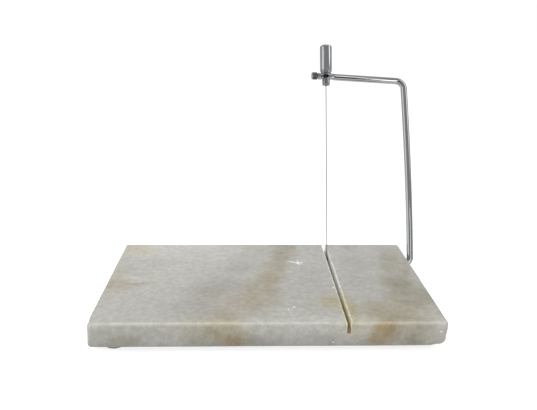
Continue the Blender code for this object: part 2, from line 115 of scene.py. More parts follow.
# Bar
BAR_RADIUS = 0.00238
TIP_REACH = 0.0136
SEAT_GAP = 0.0003
LOWER_BEND_RADIUS = 0.004
UPPER_BEND_RADIUS = 0.0063
UPRIGHT_FROM_WIRE = 0.0605
UPRIGHT_BOW = math.radians(2.85)
TOP_ARM_RISE = math.radians(3.1)
EYE_HEIGHT = 0.1364
EYE_RADIUS = 0.0037
EYE_HALF_THICKNESS = 0.002
EYE_EDGE_RADIUS = 0.0012
NECK_LENGTH = 0.0045
NOTCH_HALF_WIDTH = 0.00305
NOTCH_ROOF = -0.00065
FLAT_END = 0.0041
TIP_BLEND = 0.0004
TIP_END = 0.0061
TIP_EDGE = 0.0003
SHANK_HOLE_RADIUS = 0.0019
SCREW_HOLE_RADIUS = 0.0015
WIRE_HOLE_RADIUS = 0.00055
CRIMP_SEAT_RADIUS = 0.0013

# Tensioner, heights from the eye's middle
STUD_RADIUS = 0.00275
STUD_BOTTOM = -0.00665
STUD_SHOULDER = -0.00125
STUD_ROUNDING = 0.0009
SHANK_RADIUS = 0.0016
SHANK_TOP = 0.01575
WASHER_BOTTOM = 0.0023
WASHER_RADIUS = 0.0038
WASHER_THICKNESS = 0.0008
KNOB_BOTTOM = 0.0034
KNOB_LENGTH = 0.0196
KNOB_RADIUS = 0.0044
KNOB_COLLAR_RADIUS = 0.00425
KNOB_COLLAR_LENGTH = 0.0008
KNOB_COLLAR_CHAMFER = 0.0003
KNOB_LINE_DEPTH = 0.0005
KNOB_LINE_WIDTH = 0.0003
KNOB_CROWN_RADIUS = 0.0012
KNOB_BORE_DEPTH = 0.0166

# Lock screw, along the bar's tip
SCREW_RADIUS = 0.0012
SCREW_DOG_RADIUS = 0.0004
SCREW_DOG_START = 0.0037
SCREW_DOG_END = 0.0014
SCREW_HEAD_RADIUS = 0.00265
SCREW_HEAD_LENGTH = 0.0043
SCREW_HEAD_CHAMFER = 0.0007
SCREW_HEAD_STEP = 0.0001
SCREW_DIMPLE_RADIUS = 0.0009
SCREW_DIMPLE_FLOOR_RADIUS = 0.0008
SCREW_DIMPLE_DEPTH = 0.0005
SCREW_PALE_START, SCREW_PALE_FULL = 0.0014, 0.0008
SCREW_PALE_COLOUR = (0.50, 0.49, 0.46)
KNURL_COUNT = 28
KNURL_DEPTH = 0.00014

# Shares of the screw head's chamfer taken halfway along it and just before its end, and of the
# knurl's depth that is left halfway
SCREW_CHAMFER_MIDDLE, SCREW_CHAMFER_LAST = 0.35, 0.85
KNURL_LEFT_ON_CHAMFER = 0.3

# Painted shadow, black in the hollow of the eye, in the arm's frame
PAINTED_SHADOW_CENTRE = Vector((-0.0003, -0.0034, EYE_HEIGHT - 0.0008))
PAINTED_SHADOW_RADII = (0.0042, 0.0034, 0.0024)
PAINTED_SHADOW_COLOUR = (0.04, 0.04, 0.045)

# Feet
FOOT_RADIUS = 0.00635
FOOT_REST_RADIUS = 0.00425

# Fineness
BAR_SIDES_PER_QUARTER = 12
TURNED_STEPS = 96
DRILLED_STEPS = 48
BORE_STEPS = 64
SHANK_STEPS = 32
BEND_STEPS = 24
UPRIGHT_STEPS = 24
NECK_STEPS = 12
EYE_STEPS = 32
TIP_STEPS = 4
ARC_STEPS = 6
GROOVE_ARC_STEPS = 10
FOOT_ARC_STEPS = 10
STEPS_PER_KNURL = 6
CORNER_STEPS = 3
CORNER_SHARE = 0.45
EDGE_SOFTENING = 0.00012
MERGE_DISTANCE = 2e-7
SMOOTH_ANGLE = math.radians(38)


# Mesh helpers

def placed(name, data):
    """A new object, in the scene."""
    made = bpy.data.objects.new(name, data)
    bpy.context.scene.collection.objects.link(made)
    return made


def mesh_from(name, bm, matrix=Matrix.Identity(4)):
    """Turns a closed bmesh into a mesh and frees it."""
    bmesh.ops.recalc_face_normals(bm, faces=bm.faces)
    bm.transform(matrix)
    mesh = bpy.data.meshes.new(name)
    bm.to_mesh(mesh)
    bm.free()
    return mesh


def smooth(mesh):
    """Shades a mesh smoothly, apart from its sharp edges."""
    mesh.shade_smooth()
    mesh.set_sharp_from_angle(angle=SMOOTH_ANGLE)


def add_piece(name, bm, body, stuff, matrix=Matrix.Identity(4)):
    """Turns a bmesh into a smooth-shaded piece that rides on a body."""
    piece = placed(name, mesh_from(name, bm, matrix))
    smooth(piece.data)
    piece.data.materials.append(stuff)
    if body:
        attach(piece, body)
    return piece


def cut(piece, *cutters):
    """Cuts closed bmeshes out of a piece and keeps the result as its mesh."""
    helpers = []
    for bm in cutters:
        helper = placed("cutter", mesh_from("cutter", bm))
        modifier = piece.modifiers.new("cut", "BOOLEAN")
        modifier.operation = "DIFFERENCE"
        modifier.solver = "EXACT"
        modifier.object = helper
        helpers.append(helper)
    graph = bpy.context.evaluated_depsgraph_get()
    result = bpy.data.meshes.new_from_object(piece.evaluated_get(graph), depsgraph=graph)
    piece.modifiers.clear()
    piece.data = result
    for helper in helpers:
        bpy.data.objects.remove(helper)
    smooth(result)


def skin(bm, rings):
    """Closes a body over rings of vertices, with a cap on the first and on the last."""
    for ring, following in zip(rings, rings[1:]):
        for i in range(len(ring)):
            bm.faces.new((ring[i - 1], ring[i], following[i], following[i - 1]))
    bm.faces.new(rings[0])
    bm.faces.new(rings[-1])


def softened(outline, radius, closed=False):
    """Rounds each corner of a (radius, height) outline with a small arc."""
    count = len(outline)
    points = []
    for i, here in enumerate(outline):
        here = Vector(here)
        if not closed and i in (0, count - 1):
            points.append(here)
            continue
        before = Vector(outline[i - 1]) - here
        after = Vector(outline[(i + 1) % count]) - here
        reach = min(radius, before.length * CORNER_SHARE, after.length * CORNER_SHARE)
        start = here + before.normalized() * reach
        end = here + after.normalized() * reach
        for step in range(CORNER_STEPS + 1):
            share = step / CORNER_STEPS
            points.append((1 - share) ** 2 * start + 2 * share * (1 - share) * here + share**2 * end)
    return [(max(p[0], 0.0), p[1]) for p in points]


def turned(outline, closed=False, steps=TURNED_STEPS, softening=EDGE_SOFTENING):
    """A body turned about Z from a (radius, height) outline; an open one begins and ends on Z."""
    outline = softened(outline, softening, closed)
    bm = bmesh.new()
    verts = [bm.verts.new((radius, 0, height)) for radius, height in outline]
    edges = [bm.edges.new(pair) for pair in zip(verts, verts[1:])]
    if closed:
        edges.append(bm.edges.new((verts[-1], verts[0])))
    bmesh.ops.spin(bm, geom=verts + edges, axis=(0, 0, 1), angle=2 * math.pi, steps=steps)
    bmesh.ops.remove_doubles(bm, verts=bm.verts, dist=MERGE_DISTANCE)
    return bm


def cylinder(radius, low, high, matrix=Matrix.Identity(4), steps=DRILLED_STEPS):
    """A cylinder along Z, between two heights."""
    bm = turned([(0, low), (radius, low), (radius, high), (0, high)], steps=steps, softening=0)
    bm.transform(matrix)
    return bm


def box(low, high):
    """A box between two opposite corners."""
    bm = bmesh.new()
    bmesh.ops.create_cube(bm, size=1)
    low, high = Vector(low), Vector(high)
    bmesh.ops.scale(bm, vec=high - low, verts=bm.verts)
    bmesh.ops.translate(bm, vec=(low + high) / 2, verts=bm.verts)
    return bm


def arc(centre, radius, start, end, steps=ARC_STEPS):
    """Points of an arc in the outline's plane."""
    return [
        (centre[0] + radius * math.cos(start + (end - start) * i / steps),
         centre[1] + radius * math.sin(start + (end - start) * i / steps))
        for i in range(steps + 1)
    ]


def swept(stations):
    """A closed body through rounded sections: (x, z, heading, half width, half height, corner)."""
    bm = bmesh.new()
    rings = []
    for x, z, heading, width, height, corner in stations:
        across = Vector((0, 1, 0))
        upward = Vector((-math.sin(heading), 0, math.cos(heading)))
        ring = []
        for i in range(4 * BAR_SIDES_PER_QUARTER):
            angle = math.pi / 2 * (i + 0.5) / BAR_SIDES_PER_QUARTER
            side = math.copysign(width - corner, math.cos(angle)) + corner * math.cos(angle)
            top = math.copysign(height - corner, math.sin(angle)) + corner * math.sin(angle)
            ring.append(bm.verts.new(Vector((x, 0, z)) + across * side + upward * top))
        rings.append(ring)
    skin(bm, rings)
    return bm


# Node helpers

class Nodes:
    """Builds a node tree, one small step per call."""

    def __init__(self, owner, output="ShaderNodeOutputMaterial", place="Object"):
        owner.use_nodes = True
        self.owner = owner
        self.tree = owner.node_tree
        self.tree.nodes.clear()
        self.output = self.tree.nodes.new(output)
        self.place = self.tree.nodes.new("ShaderNodeTexCoord").outputs[place]

    def node(self, kind, inputs=None, **settings):
        """A new node, with its settings and with values or links for its inputs."""
        made = self.tree.nodes.new(kind)
        for key, value in settings.items():
            setattr(made, key, value)
        for key, value in (inputs or {}).items():
            self.feed(made.inputs[key], value)
        return made

    def feed(self, socket, value):
        """Gives a socket a link or a value of its own."""
        if isinstance(value, bpy.types.NodeSocket):
            self.tree.links.new(value, socket)
        else:
            socket.default_value = value

    def math(self, operation, a, b=0.0, clamp=False):
        made = self.node("ShaderNodeMath", {0: a, 1: b}, operation=operation, use_clamp=clamp)
        return made.outputs[0]

    def chain(self, operation, *values):
        """One operation, from each value on to the next."""
        return functools.reduce(lambda a, b: self.math(operation, a, b), values)

    def vector(self, operation, a, b):
        return self.node("ShaderNodeVectorMath", {0: a, 1: b}, operation=operation).outputs[0]

    def scaled(self, a, factor):
        return self.node("ShaderNodeVectorMath", {0: a, "Scale": factor}, operation="SCALE").outputs[0]

    def noise(self, scale, detail, roughness=0.5, place=None):
        """Noise of one channel, mostly between a quarter and three quarters."""
        made = self.node("ShaderNodeTexNoise", {
            "Vector": place or self.place, "Scale": scale, "Detail": detail, "Roughness": roughness,
        })
        return made.outputs["Fac"]

    def noise_vector(self, scale, detail):
        """Noise of three channels, each about zero."""
        made = self.node("ShaderNodeTexNoise", {"Vector": self.place, "Scale": scale, "Detail": detail})
        return self.vector("SUBTRACT", made.outputs["Color"], (0.5, 0.5, 0.5))

    def ramp(self, value, low, high, to_low=0.0, to_high=1.0):
        """A smooth step from to_low at low to to_high at high."""
        made = self.node("ShaderNodeMapRange", {
            "Value": value, "From Min": low, "From Max": high, "To Min": to_low, "To Max": to_high,
        }, interpolation_type="SMOOTHSTEP")
        return made.outputs["Result"]

    def mix(self, share, a, b, blend="MIX"):
        """Colour a where the share is 0 and b where it is 1, or b blended over a."""
        made = self.node("ShaderNodeMix", data_type="RGBA", blend_type=blend)
        self.feed(made.inputs["Factor"], share)
        self.feed(made.inputs["A"], (*a, 1) if isinstance(a, tuple) else a)
        self.feed(made.inputs["B"], (*b, 1) if isinstance(b, tuple) else b)
        return made.outputs["Result"]

    def axes(self):
        """The place's own X, Y and Z."""
        return self.node("ShaderNodeSeparateXYZ", {"Vector": self.place}).outputs

    def ray(self, kind):
        """1 for rays of one kind, such as Glossy."""
        return self.node("ShaderNodeLightPath").outputs[f"Is {kind} Ray"]

    def direct(self):
        """1 for what the camera sees, itself or through something clear."""
        return self.math("MAXIMUM", self.ray("Camera"), self.ray("Transmission"))

    def unless(self, share, value):
        """A value where a share is 0, and nothing where it is 1."""
        return self.math("MULTIPLY", self.math("SUBTRACT", 1.0, share), value)

    def blob(self, centre, radii, turn, place):
        """1 at the centre of an ellipsoid, falling to 0 at its surface."""
        mapped = self.node("ShaderNodeMapping", {
            "Vector": place, "Location": centre, "Rotation": (0, 0, turn), "Scale": radii,
        }, vector_type="TEXTURE")
        made = self.node("ShaderNodeTexGradient", {"Vector": mapped.outputs["Vector"]},
                         gradient_type="SPHERICAL")
        return made.outputs["Fac"]

    def bump(self, height, distance, strength):
        """A normal that follows a height."""
        inputs = {"Height": height, "Distance": distance, "Strength": strength}
        return self.node("ShaderNodeBump", inputs).outputs["Normal"]

    def surface(self, shader):
        """Sends a shader's result to the output."""
        self.tree.links.new(shader.outputs[0], self.output.inputs["Surface"])

    def principled(self, **inputs):
        """Finishes a material with one shader, and gives it back."""
        shader = self.node("ShaderNodeBsdfPrincipled")
        for key, value in inputs.items():
            socket = shader.inputs[key.replace("_", " ")]
            if isinstance(value, tuple) and socket.type == "RGBA":
                value = (*value, 1)
            self.feed(socket, value)
        self.surface(shader)
        return self.owner


def patch(n, centre, radii, turn, place):
    """A blob given in millimetres from the board's top front left corner, and degrees."""
    middle = TOP_FRONT_LEFT + Vector(centre) / 1000
    return n.blob(middle, Vector(radii) / 1000, math.radians(turn), place)


# Two tones of the stone's ground; the pale of its rubbed edges, which also paints a highlight along
# them; and the colour of painted glints
GROUND = (0.460, 0.450, 0.412), (0.422, 0.414, 0.378)
WEAR_AND_HIGHLIGHT_COLOUR = (0.72, 0.71, 0.655)
GLINT_COLOUR = (0.92, 0.92, 0.90)

# The groove's walls, with painted shade deep down and painted light near the top, and its lips: each
# away from the front, and at it
SHADED_WALL_DEEP = (0.68, 0.67, 0.59), (0.52, 0.46, 0.29)
WALL_LIT = (0.88, 0.87, 0.80), (0.86, 0.79, 0.56)
LIP_COLOURS = (0.82, 0.81, 0.76), (0.74, 0.71, 0.55)

# Painted shade: how much of its light the slab keeps towards its foot, darker towards the bottom where
# less light reaches it; how far below the top that starts, and how far its grain goes up and down
PAINTED_FOOT_SHADE = 0.86
PAINTED_FOOT_SHADE_START = 0.002
COARSE_GRAIN = 0.14
FINE_GRAIN = 0.07

# The stone's patterns: the scale, detail and roughness of each noise, and the ramp it runs through
COARSE_WARP, COARSE_WARP_REACH = (38, 2), 0.012
FINE_WARP, FINE_WARP_REACH = (170, 3), 0.004
CLOUDS, CLOUD_RAMP = (30, 5, 0.55), (0.34, 0.66)
TINT_BREAKS, TINT_BREAK_RAMP = (85, 5, 0.62), (0.25, 0.75, 0.6, 1.25)
CRYSTALS, CRYSTAL_RAMP = (300, 4, 0.68), (0.25, 0.75, 1 - COARSE_GRAIN, 1 + COARSE_GRAIN)
FINE_CRYSTALS = (1300, 2)
WEAR_AND_HIGHLIGHT_BREAKS, WEAR_AND_HIGHLIGHT_RAMP = (260, 3, 0.6), (0.3, 0.7, 0.16, 0.42)
LIP_BREAKS, LIP_RAMP = (520, 3, 0.7), (0.38, 0.58, 0.2, 1.0)
POLISH, POLISH_RAMP = (55, 3), (0.25, 0.75, 0.28, 0.38)
SURFACE_BUMPS, SURFACE_BUMP_DEPTH, SURFACE_BUMP_STRENGTH = (450, 2), 0.00004, 0.35

# Where a tint, a painted glint and the painted shadow in the eye's hollow start and are full, from 0
# at their outline to 1 at their middle
TINT_RAMP = (0.0, 0.75)
GLINT_RAMP = (0.1, 0.45)
PAINTED_SHADOW_RAMP = (0.05, 0.4)

# Depths below the top where each part of the groove's colouring starts and is full
LIP_DEPTHS = (0.0022, 0.0004)
WALL_DEPTHS = (0.0001, 0.0009)
LIT_WALL_DEPTHS = (0.0060, 0.0012)
WALL_FOOT_DEPTHS = (GROOVE_DEPTH + 0.0002, GROOVE_DEPTH - 0.0006)

# The same across the groove: past the lip's edge, and from the wall's plane
LIP_SPREAD = 0.0008
LIP_FROM_WALL = (-0.0001, 0.0002)
WALL_INSET = 0.0001

# How far from the front the ochre starts, and is full
OCHRE_LENGTHS = (0.050, 0.030)

# Tints of the stone, each multiplied over its pale ground; the palest also brings painted light
TAN = (0.80, 0.73, 0.60)
OLIVE = (0.74, 0.70, 0.59)
OCHRE = (0.98, 0.93, 0.80)
YELLOW = (0.90, 0.85, 0.62)
RUST = (0.84, 0.70, 0.48)
SMOKE = (0.86, 0.862, 0.872)
PALE_AND_PAINTED_LIGHT = (1.26, 1.26, 1.27)

# Where they lie: centre and radii in millimetres from the top front left corner, turn, strength
STAINS_AND_PAINTED_LIGHT = {
    TAN: (
        ((120, 120, 0), (12, 20, 30), -12, 1.0),
        ((115, 102, 0), (12, 24, 30), -14, 1.0),
        ((109, 84, 0), (13, 24, 30), -12, 1.0),
        ((104, 64, 0), (15, 26, 30), -10, 1.0),
        ((98, 44, 0), (19, 28, 30), -5, 1.0),
        ((91, 26, 0), (26, 24, 30), 15, 0.95),
        ((78, 12, 0), (24, 18, 30), 15, 0.75),
        ((72, 34, 0), (26, 26, 30), 0, 0.4),
        ((19, 54, 0), (17, 5, 20), 4, 0.8),
        ((8, 52, 0), (14, 12, 20), 0, 0.5),
        ((180, 3, -4), (26, 10, 14), 0, 0.55),
    ),
    OLIVE: (
        ((193, 100, 0), (12, 26, 30), 8, 0.8),
        ((189, 76, 0), (14, 24, 30), 10, 0.9),
        ((187, 54, 0), (17, 24, 30), 10, 1.0),
        ((190, 34, 0), (22, 26, 24), -8, 1.0),
        ((170, 14, 0), (24, 14, 20), -8, 0.7),
        ((68, -2, -11), (18, 18, 12), 0, 0.7),
        ((78, -2, -12), (20, 18, 13), 0, 0.9),
        ((88, -2, -11), (14, 12, 10), 0, 0.6),
        ((20, 0, -13), (16, 10, 8), 0, 0.6),
        ((186, -1, -12), (12, 8, 8), 0, 0.5),
    ),
    OCHRE: (
        ((8, 115, 0), (22, 18, 20), 10, 1.0),
        ((4, 60, 0), (14, 34, 20), 0, 0.8),
        ((96, 118, 0), (14, 14, 20), -30, 0.5),
        ((141, 27, 0), (20, 14, 12), 5, 0.8),
        ((149, 16, -3), (7, 40, 9), 0, 1.0),
        ((178, 14, 0), (36, 22, 20), 0, 0.9),
        ((68, 2, -3), (30, 10, 10), 0, 0.9),
        ((160, 2, -3), (30, 10, 10), 0, 0.8),
    ),
    YELLOW: (
        ((142, 24, 0), (12, 16, 12), 10, 0.6),
        ((150, 20, 0), (6, 26, 8), 0, 1.0),
        ((149, 2, -3), (5, 8, 7), 0, 0.5),
    ),
    RUST: (
        ((168, -1, -6), (12, 10, 12), 0, 1.0),
        ((164, 0, -13), (11, 8, 10), 0, 1.0),
        ((80, -1, -11), (11, 8, 6), 0, 0.6),
        ((102, 60, 0), (7, 12, 12), 0, 0.3),
    ),
    SMOKE: (
        ((84, 84, 0), (16, 30, 25), -12, 1.0),
        ((70, 50, 0), (26, 30, 25), -25, 0.9),
        ((60, 16, 0), (30, 20, 25), -15, 0.8),
        ((164, 118, 0), (9, 8, 20), 0, 1.0),
        ((165, 60, 0), (16, 60, 20), 0, 0.5),
        ((130, 60, 0), (10, 60, 20), -8, 0.35),
        ((186, 54, 0), (2.5, 5, 8), 0, 1.0),
        ((100, 0, -12), (14, 10, 8), 0, 0.9),
        ((134, 0, -10), (10, 8, 6), 0, 0.7),
    ),
    # Pale stone, and painted light: the top of the front face and its right end made lighter
    PALE_AND_PAINTED_LIGHT: (
        ((40, 125, 0), (80, 55, 30), 0, 0.9),
        ((30, 80, 0), (50, 50, 30), 0, 0.4),
        ((132, 0, -3), (50, 12, 12), 0, 0.8),
        ((80, 0, -1), (30, 6, 7), 0, 0.5),
        ((172, 0, -1), (24, 6, 6), 0, 0.4),
        ((200, -2, -6), (14, 20, 12), 0, 0.8),
        ((115, 12, 0), (16, 14, 12), 0, 0.3),
    ),
}

# Painted glints, bright sparkles where crystals catch the light: centre and radii in millimetres, turn
PAINTED_GLINTS = (
    ((124.8, 89.0, 0), (0.5, 7.0, 2), 6),
    ((125.4, 88.6, 0), (4.2, 0.9, 2), 30),
    ((123.6, 89.6, 0), (5.5, 0.8, 2), -18),
    ((119.5, 91.6, 0), (3.5, 0.5, 2), -10),
    ((140.0, 88.5, 0), (0.8, 0.6, 2), 0),
    ((144.5, 87.0, 0), (0.8, 0.6, 2), 0),
    ((117.0, 19.5, 0), (1.2, 0.8, 2), 10),
    ((113.5, 17.0, 0), (0.6, 0.8, 2), 0),
    ((143.6, 47.0, 0), (0.9, 1.1, 2), 0),
    ((199.0, 0, -6), (0.7, 2, 0.7), 0),
    ((138.0, 0, -12.4), (0.6, 2, 0.4), 0),
)


def marble():
    """Crystalline warm grey marble: tan bands, grey clouds, painted glints, edges pale with painted
    highlight.
    """
    n = Nodes(bpy.data.materials.new("veined_marble"))
    coarse = n.scaled(n.noise_vector(*COARSE_WARP), COARSE_WARP_REACH)
    fine = n.scaled(n.noise_vector(*FINE_WARP), FINE_WARP_REACH)
    warped = n.vector("ADD", n.place, n.vector("ADD", coarse, fine))

    colour = n.mix(n.ramp(n.noise(*CLOUDS, place=warped), *CLOUD_RAMP), *GROUND)
    ragged = n.ramp(n.noise(*TINT_BREAKS), *TINT_BREAK_RAMP)
    for tint, patches in STAINS_AND_PAINTED_LIGHT.items():
        tint_share = n.chain("MAXIMUM", *(
            n.ramp(patch(n, centre, radii, turn, warped), *TINT_RAMP, 0.0, strength)
            for centre, radii, turn, strength in patches
        ))
        colour = n.mix(n.math("MULTIPLY", tint_share, ragged, clamp=True), colour, tint, "MULTIPLY")

    grain = n.ramp(n.noise(*CRYSTALS), *CRYSTAL_RAMP)
    grain = n.math("ADD", grain, n.math("MULTIPLY", n.noise(*FINE_CRYSTALS), 2 * FINE_GRAIN))
    grain = n.math("SUBTRACT", grain, FINE_GRAIN)
    # Painted shade: the slab darkens towards its foot
    foot = n.ramp(n.axes()["Z"], BOARD_LOW.z, BOARD_HIGH.z - PAINTED_FOOT_SHADE_START, PAINTED_FOOT_SHADE, 1.0)
    shade = n.math("MULTIPLY", grain, foot)
    grey = n.node("ShaderNodeCombineColor", {0: shade, 1: shade, 2: shade}).outputs[0]
    colour = n.mix(1.0, colour, grey, "MULTIPLY")

    # Pale rubbed edges, also a painted highlight along the rounded arris
    wear_and_highlight = n.node("ShaderNodeAttribute", attribute_name="edge_wear_and_highlight").outputs["Fac"]
    broken = n.ramp(n.noise(*WEAR_AND_HIGHLIGHT_BREAKS), *WEAR_AND_HIGHLIGHT_RAMP)
    colour = n.mix(n.math("MULTIPLY", wear_and_highlight, broken), colour, WEAR_AND_HIGHLIGHT_COLOUR)
    colour = groove_wall(n, colour)
    # Painted glints where crystals catch the light
    glints = n.chain("MAXIMUM", *(n.ramp(patch(n, *glint, n.place), *GLINT_RAMP) for glint in PAINTED_GLINTS))
    colour = n.mix(glints, colour, GLINT_COLOUR)

    rough = n.ramp(n.noise(*POLISH), *POLISH_RAMP)
    normal = n.bump(n.noise(*SURFACE_BUMPS), SURFACE_BUMP_DEPTH, SURFACE_BUMP_STRENGTH)
    return n.principled(Base_Color=colour, Roughness=rough, Normal=normal, IOR=1.5)


def groove_wall(n, colour):
    """Pale broken lips, unpolished walls with painted light and painted shade, ochre towards the front.
    """
    x, y, z = n.axes()
    wall = GROOVE_WIDTH / 2
    edge = wall + GROOVE_EASE
    across = n.math("ABSOLUTE", n.math("SUBTRACT", x, GROOVE_X))
    depth = n.math("SUBTRACT", BOARD_HIGH.z, z)
    behind = n.math("SUBTRACT", y, BOARD_LOW.y)
    front = n.ramp(behind, *OCHRE_LENGTHS)

    lips = n.chain("MULTIPLY",
                   n.ramp(across, edge + LIP_SPREAD, edge),
                   n.ramp(across, *(wall + off for off in LIP_FROM_WALL)),
                   n.ramp(depth, *LIP_DEPTHS),
                   n.ramp(n.noise(*LIP_BREAKS), *LIP_RAMP))
    inside = n.chain("MULTIPLY",
                     n.ramp(across, edge, wall + WALL_INSET),
                     n.ramp(depth, *WALL_DEPTHS),
                     n.ramp(depth, *WALL_FOOT_DEPTHS))
    # Painted light on the walls: paler than the stone, lighter still near the top, painted shade deeper
    # down
    lit = n.ramp(depth, *LIT_WALL_DEPTHS)
    walls_with_painted_light = n.mix(lit, n.mix(front, *SHADED_WALL_DEEP), n.mix(front, *WALL_LIT))
    return n.mix(lips, n.mix(inside, colour, walls_with_painted_light), n.mix(front, *LIP_COLOURS))


def even_stuff(name, tone, colours, rough, bump=None, mark=None, **look):
    """A material whose colour wanders between two and whose roughness varies a little.

    tone is the colour's noise. rough is a noise, its spread and the least roughness. bump is a
    noise, its distance and its strength. mark takes the nodes and the colour, and gives a colour.
    """
    n = Nodes(bpy.data.materials.new(name))
    colour = n.mix(n.noise(*tone), *colours)
    if mark:
        colour = mark(n, colour)
    *pattern, spread, least = rough
    look["Roughness"] = n.math("ADD", n.math("MULTIPLY", n.noise(*pattern), spread), least)
    if bump:
        *pattern, distance, strength = bump
        look["Normal"] = n.bump(n.noise(*pattern), distance, strength)
    return n.principled(Base_Color=colour, **look)


def chrome():
    """Bright plating with a faint ripple and fine wiping marks, and a painted shadow round the stud."""
    # Painted shadow: black in the eye's hollow round the stud
    def painted_recess_shadow(n, colour):
        inside = n.blob(LEAN @ PAINTED_SHADOW_CENTRE, PAINTED_SHADOW_RADII, 0, n.place)
        return n.mix(n.ramp(inside, *PAINTED_SHADOW_RAMP), colour, PAINTED_SHADOW_COLOUR)

    return even_stuff("bright_chrome", (90, 4), ((0.54, 0.555, 0.575), (0.60, 0.61, 0.62)),
                      (700, 4, 0.6, 0.04, 0.03), (160, 2, 0.00003, 0.3), painted_recess_shadow, Metallic=1.0)


def steel():
    """Turned, nickel-toned steel."""
    return even_stuff("turned_steel", (400, 4), ((0.32, 0.31, 0.29), (0.42, 0.41, 0.385)),
                      (900, 3, 0.1, 0.1), (1400, 3, 0.00002, 0.5), Metallic=1.0)


def knurled_steel():
    """Dark nickel over a knurl, darkened further as painted shade in its grooves, with a pale turned
    end.
    """
    def pale_end(n, colour):
        end = PIVOT.x - TIP_END - SEAT_GAP - SCREW_HEAD_LENGTH
        share = n.ramp(n.axes()["X"], end + SCREW_PALE_START, end + SCREW_PALE_FULL)
        return n.mix(share, colour, SCREW_PALE_COLOUR)

    # Painted shade: the knurl's colour is kept darker than bare nickel
    return even_stuff("knurled_nickel_painted_shade", (500, 4), ((0.14, 0.135, 0.125), (0.21, 0.205, 0.19)),
                      (900, 3, 0.1, 0.16), (1400, 3, 0.00002, 0.5), pale_end, Metallic=1.0)


def wire_steel():
    """Drawn stainless wire, coloured near black: painted shade that dims what it mirrors."""
    # Painted shade: far darker than bare stainless
    return even_stuff("drawn_wire", (600, 3), ((0.05, 0.05, 0.052), (0.08, 0.08, 0.08)),
                      (1500, 2, 0.1, 0.38), Metallic=1.0)


def rubber():
    """Clear-grey soft rubber."""
    return even_stuff("foot_rubber", (500, 4), ((0.40, 0.41, 0.38), (0.50, 0.51, 0.47)),
                      (900, 3, 0.15, 0.38), (1800, 3, 0.00003, 0.4),
                      Subsurface_Weight=0.15, Subsurface_Scale=0.002)


def nylon():
    """Moulded natural nylon."""
    return even_stuff("bush_nylon", (300, 3), ((0.70, 0.68, 0.60), (0.80, 0.78, 0.71)),
                      (1000, 3, 0.12, 0.42), (1500, 2, 0.00002, 0.4))


# Pieces

def lip_width(side, y):
    """How far one lip of the groove, 1 or -1, is eased back at a place along it."""
    wander = noise.noise(Vector((side * LIP_NOISE_X, y * LIP_WAVES_PER_METRE, LIP_NOISE_Z)))
    chipped = noise.noise(Vector((side * CHIP_NOISE_X, y * CHIPS_PER_METRE, CHIP_NOISE_Z)))
    chip = max(0.0, chipped - CHIP_THRESHOLD)
    return GROOVE_EASE * (LIP_EVEN_SHARE + LIP_WANDER_SHARE * wander) + CHIP_SIZE * chip


def slab_groove():
    """The groove's cutter: its lips wander and chip a little along their length."""
    top, half = BOARD_HIGH.z, GROOVE_WIDTH / 2
    bm = bmesh.new()
    rings = []
    start, end = BOARD_LOW.y - CUT_PAST, BOARD_HIGH.y + CUT_PAST
    count = int((end - start) / GROOVE_STEP)
    for i in range(count + 1):
        y = start + (end - start) * i / count
        right, left = lip_width(1, y), lip_width(-1, y)
        points = [
            (GROOVE_X + half + right + CUT_PAST, top + CUT_PAST),
            (GROOVE_X + half + right, top),
            (GROOVE_X + half, top - right * GROOVE_LIP_SLOPE),
            *arc((GROOVE_X, top - GROOVE_DEPTH + half), half, 0, -math.pi, GROOVE_ARC_STEPS),
            (GROOVE_X - half, top - left * GROOVE_LIP_SLOPE),
            (GROOVE_X - half - left, top),
            (GROOVE_X - half - left - CUT_PAST, top + CUT_PAST),
        ]
        rings.append([bm.verts.new((x, y, z)) for x, z in points])
    skin(bm, rings)
    return bm


def grid_lines(low, high):
    """Places of grid lines between two faces: close together near both, wider apart between."""
    fine = round(min(EDGE_ZONE, (high - low) / 3) / EDGE_STEP)
    zone = fine * EDGE_STEP
    coarse = max(1, round((high - low - 2 * zone) / FACE_STEP))
    lines = [low + EDGE_STEP * i for i in range(fine)]
    lines += [low + zone + (high - low - 2 * zone) * i / coarse for i in range(coarse)]
    return lines + [high - EDGE_STEP * i for i in range(fine, -1, -1)]


def eased(value, start, end):
    """0 at start and 1 at end, with a smooth run between."""
    share = min(1.0, max(0.0, (value - start) / (end - start)))
    return share * share * (3 - 2 * share)


def edge_radius(point):
    """Radius of the slab's edges near a point: a little uneven, and fuller at two places."""
    radius = EDGE_RADIUS + EDGE_UNEVENNESS * noise.noise(point * EDGE_WAVES_PER_METRE)
    height = point.z - SLAB_LOW.z
    lower_right = (eased(point.x, BOARD_HIGH.x - LOWER_RIGHT_REACH_X, BOARD_HIGH.x - EDGE_ZONE)
                   * eased(height, LOWER_RIGHT_REACH_Z, EDGE_ZONE))
    front_left = (eased(point.x, BOARD_LOW.x + FRONT_LEFT_REACH_X, BOARD_LOW.x + EDGE_ZONE)
                  * eased(point.y, BOARD_LOW.y + FRONT_LEFT_REACH_Y, BOARD_LOW.y + EDGE_ZONE)
                  * eased(height, FRONT_LEFT_RISE_START, FRONT_LEFT_RISE_END))
    radius += (LOWER_RIGHT_RADIUS - EDGE_RADIUS) * lower_right
    return radius + (FRONT_LEFT_RADIUS - EDGE_RADIUS) * front_left


def on_rounded_slab(point):
    """Puts a point of the slab's square box on its rounded surface; tells its rubbed edge and painted
    highlight.
    """
    radius = edge_radius(point)
    core = Vector([
        min(max(point[i], SLAB_LOW[i] + radius), BOARD_HIGH[i] - radius) for i in range(3)
    ])
    out = point - core
    moved = core + out.normalized() * radius
    return moved, min(1.0, WEAR_AND_HIGHLIGHT_GAIN * (out.length / radius - 1))


